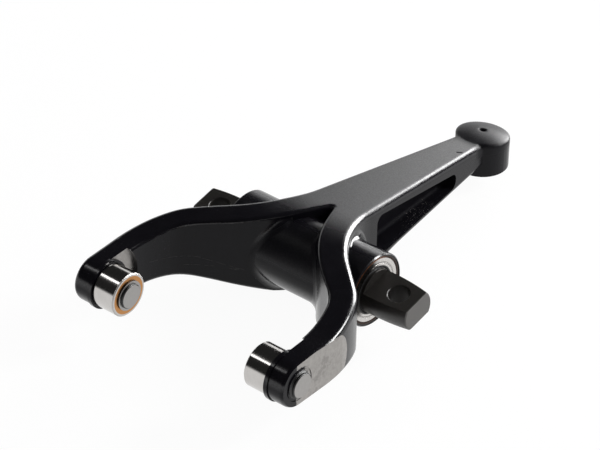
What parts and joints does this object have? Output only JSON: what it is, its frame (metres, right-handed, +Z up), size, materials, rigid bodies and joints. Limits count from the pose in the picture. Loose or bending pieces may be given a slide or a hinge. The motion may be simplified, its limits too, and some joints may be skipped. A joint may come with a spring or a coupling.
{
  "type": "clutch release fork",
  "caption": "Forged clutch release fork on a cross shaft with drilled flats, with a pocketed lever, a domed ball-socket end and thrust rollers on curved arms.",
  "frame": {"origin": "centre of the pivot shaft, on its axis, midway between the two bolt holes", "axes": "+X along the pivot shaft, +Y towards the lever end, +Z up, away from the push-rod socket's mouth"},
  "size_m": [0.179, 0.3337, 0.0621],
  "materials": {
    "fork_body": "gloss black paint over a forged surface, bare machined faces at the arm tips",
    "pivot_shaft": "black oxide, matte",
    "hub_bush": "machined bronze",
    "shaft_seal": "bright pressed steel",
    "seal_lip": "black rubber",
    "roller": "ground and polished steel",
    "roller_bush": "machined bronze",
    "roller_pin": "turned steel, staked end"
  },
  "bodies": {
    "shaft": {"pivot_shaft": "pivot_shaft"},
    "fork": {"fork_body": "fork_body", "hub_bush_right": "hub_bush", "hub_bush_left": "hub_bush", "shaft_seal_right": "shaft_seal", "shaft_seal_left": "shaft_seal", "seal_lip_right": "seal_lip", "seal_lip_left": "seal_lip", "roller_pin_right": "roller_pin", "roller_pin_left": "roller_pin"},
    "roller_right": {"roller_right": "roller", "roller_bush_right": "roller_bush"},
    "roller_left": {"roller_left": "roller", "roller_bush_left": "roller_bush"}
  },
  "joints": [
    {"name": "fork_pivot", "type": "hinge", "parent": "shaft", "child": "fork", "pos_m": [0, 0, 0], "axis": [1, 0, 0], "continuous": true},
    {"name": "roller_right_spin", "type": "hinge", "parent": "fork", "child": "roller_right", "pos_m": [0.0626, -0.1132, 0.0059], "axis": [1, 0, 0], "continuous": true},
    {"name": "roller_left_spin", "type": "hinge", "parent": "fork", "child": "roller_left", "pos_m": [-0.0626, -0.1132, 0.0059], "axis": [1, 0, 0], "continuous": true}
  ]
}
